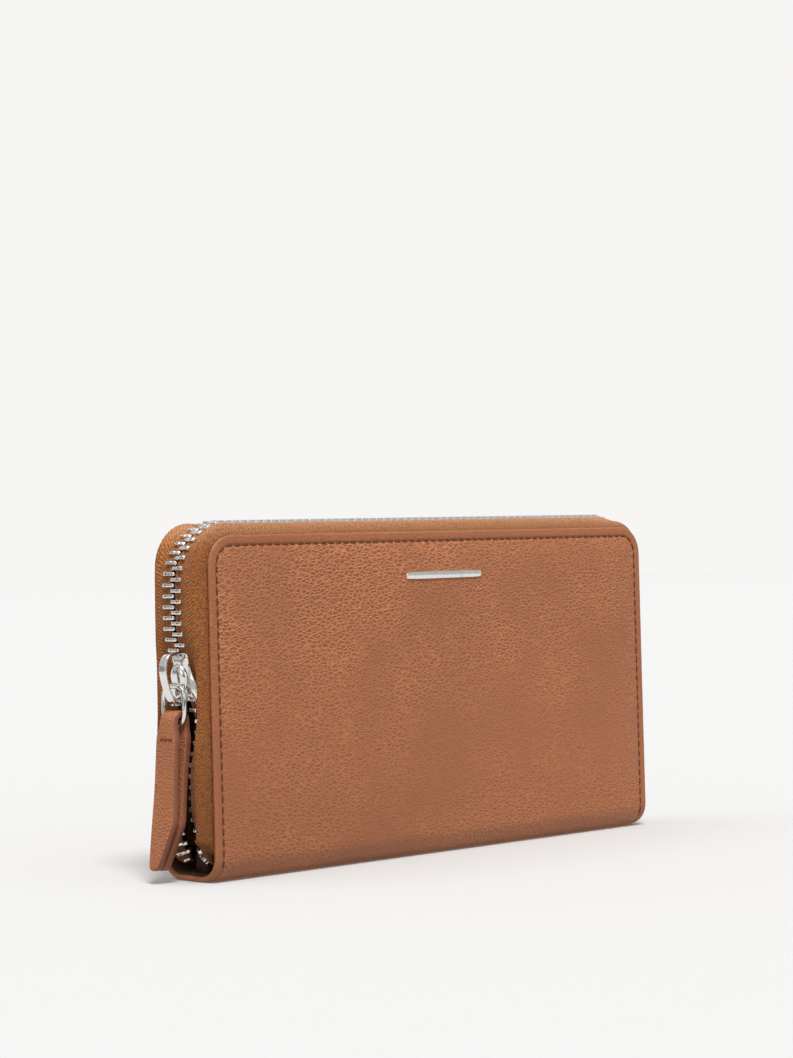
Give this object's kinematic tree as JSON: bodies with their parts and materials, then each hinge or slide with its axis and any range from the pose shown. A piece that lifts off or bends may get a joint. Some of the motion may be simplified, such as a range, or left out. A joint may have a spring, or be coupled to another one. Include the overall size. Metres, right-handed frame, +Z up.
{
  "type": "zip around wallet",
  "caption": "Long wallet that zips round three sides, with a fabric-lined inside, stepped card pockets, a zipped coin pocket and a leather pull on the slider.",
  "frame": {"origin": "middle of the flat underside of the spine that the wallet stands on", "axes": "+X along the spine, away from the end where the slider is; +Y from the front cover to the back cover; +Z up"},
  "size_m": [0.1995, 0.0235, 0.0997],
  "materials": {
    "outer_leather": "pebbled",
    "inner_leather": "smooth",
    "lining": "woven",
    "stiffener": "matt",
    "zip_tape": "woven",
    "zip_metal": "polished",
    "coil": "satin"
  },
  "bodies": {
    "spine": {"spine_leather": "outer_leather", "spine_lining": "lining", "coin_pocket_front_wall": "lining", "coin_pocket_back_wall": "lining", "coin_pocket_gusset": "lining", "coin_zip_tape_front": "zip_tape", "coin_zip_tape_back": "zip_tape", "coin_zip_coil_front": "coil", "coin_zip_coil_back": "coil", "front_gusset_left": "lining", "front_gusset_right": "lining", "back_gusset_left": "lining", "back_gusset_right": "lining"},
    "front_cover": {"front_cover_leather": "outer_leather", "front_cover_board": "stiffener", "front_lining": "lining", "front_card_pocket_1": "inner_leather", "front_card_pocket_2": "inner_leather", "front_card_pocket_3": "inner_leather", "front_card_pocket_4": "inner_leather", "front_zip_tape": "zip_tape", "front_zip_teeth": "zip_metal", "front_zip_stop_left": "zip_metal", "front_zip_stop_right": "zip_metal", "front_emblem_bar": "zip_metal"},
    "back_cover": {"back_cover_leather": "outer_leather", "back_cover_board": "stiffener", "back_lining": "lining", "back_card_pocket_1": "inner_leather", "back_card_pocket_2": "inner_leather", "back_card_pocket_3": "inner_leather", "back_card_pocket_4": "inner_leather", "back_zip_tape": "zip_tape", "back_zip_teeth": "zip_metal", "back_zip_stop_left": "zip_metal", "back_zip_stop_right": "zip_metal"},
    "zip_slider": {"slider_body": "zip_metal", "slider_bridge": "zip_metal"},
    "pull_ring": {"pull_ring": "zip_metal"},
    "pull_tab": {"pull_tab": "outer_leather"},
    "coin_slider": {"coin_slider_body": "zip_metal"},
    "coin_pull": {"coin_slider_pull": "zip_metal"}
  },
  "joints": [
    {"name": "front_cover_fold", "type": "hinge", "parent": "spine", "child": "front_cover", "pos_m": [0, -0.0115, 0.0072], "axis": [1, 0, 0], "range_deg": [0, 35], "deforming": ["front_gusset_left", "front_gusset_right"]},
    {"name": "back_cover_fold", "type": "hinge", "parent": "spine", "child": "back_cover", "pos_m": [0, 0.0115, 0.0072], "axis": [-1, 0, 0], "range_deg": [0, 35], "deforming": ["back_gusset_left", "back_gusset_right"]},
    {"name": "zip_slide", "type": "slide", "parent": "back_cover", "child": "zip_slider", "axis": [0, 0, 1], "range_m": [-0.038, 0.004], "deforming": ["front_zip_teeth", "back_zip_teeth"]},
    {"name": "pull_ring_swing", "type": "hinge", "parent": "zip_slider", "child": "pull_ring", "pos_m": [-0.09655, 0, 0.05415], "axis": [0, 1, 0], "range_deg": [0, 120]},
    {"name": "pull_tab_swing", "type": "hinge", "parent": "pull_ring", "child": "pull_tab", "pos_m": [-0.09739, 0, 0.04459], "axis": [0, 1, 0], "range_deg": [0, 60]},
    {"name": "coin_zip_slide", "type": "slide", "parent": "spine", "child": "coin_slider", "axis": [-1, 0, 0], "range_m": [0, 0.15], "deforming": ["coin_zip_coil_front", "coin_zip_coil_back"]},
    {"name": "coin_pull_lift", "type": "hinge", "parent": "coin_slider", "child": "coin_pull", "pos_m": [0.0772, 0, 0.08065], "axis": [0, 1, 0], "range_deg": [0, 170]}
  ]
}
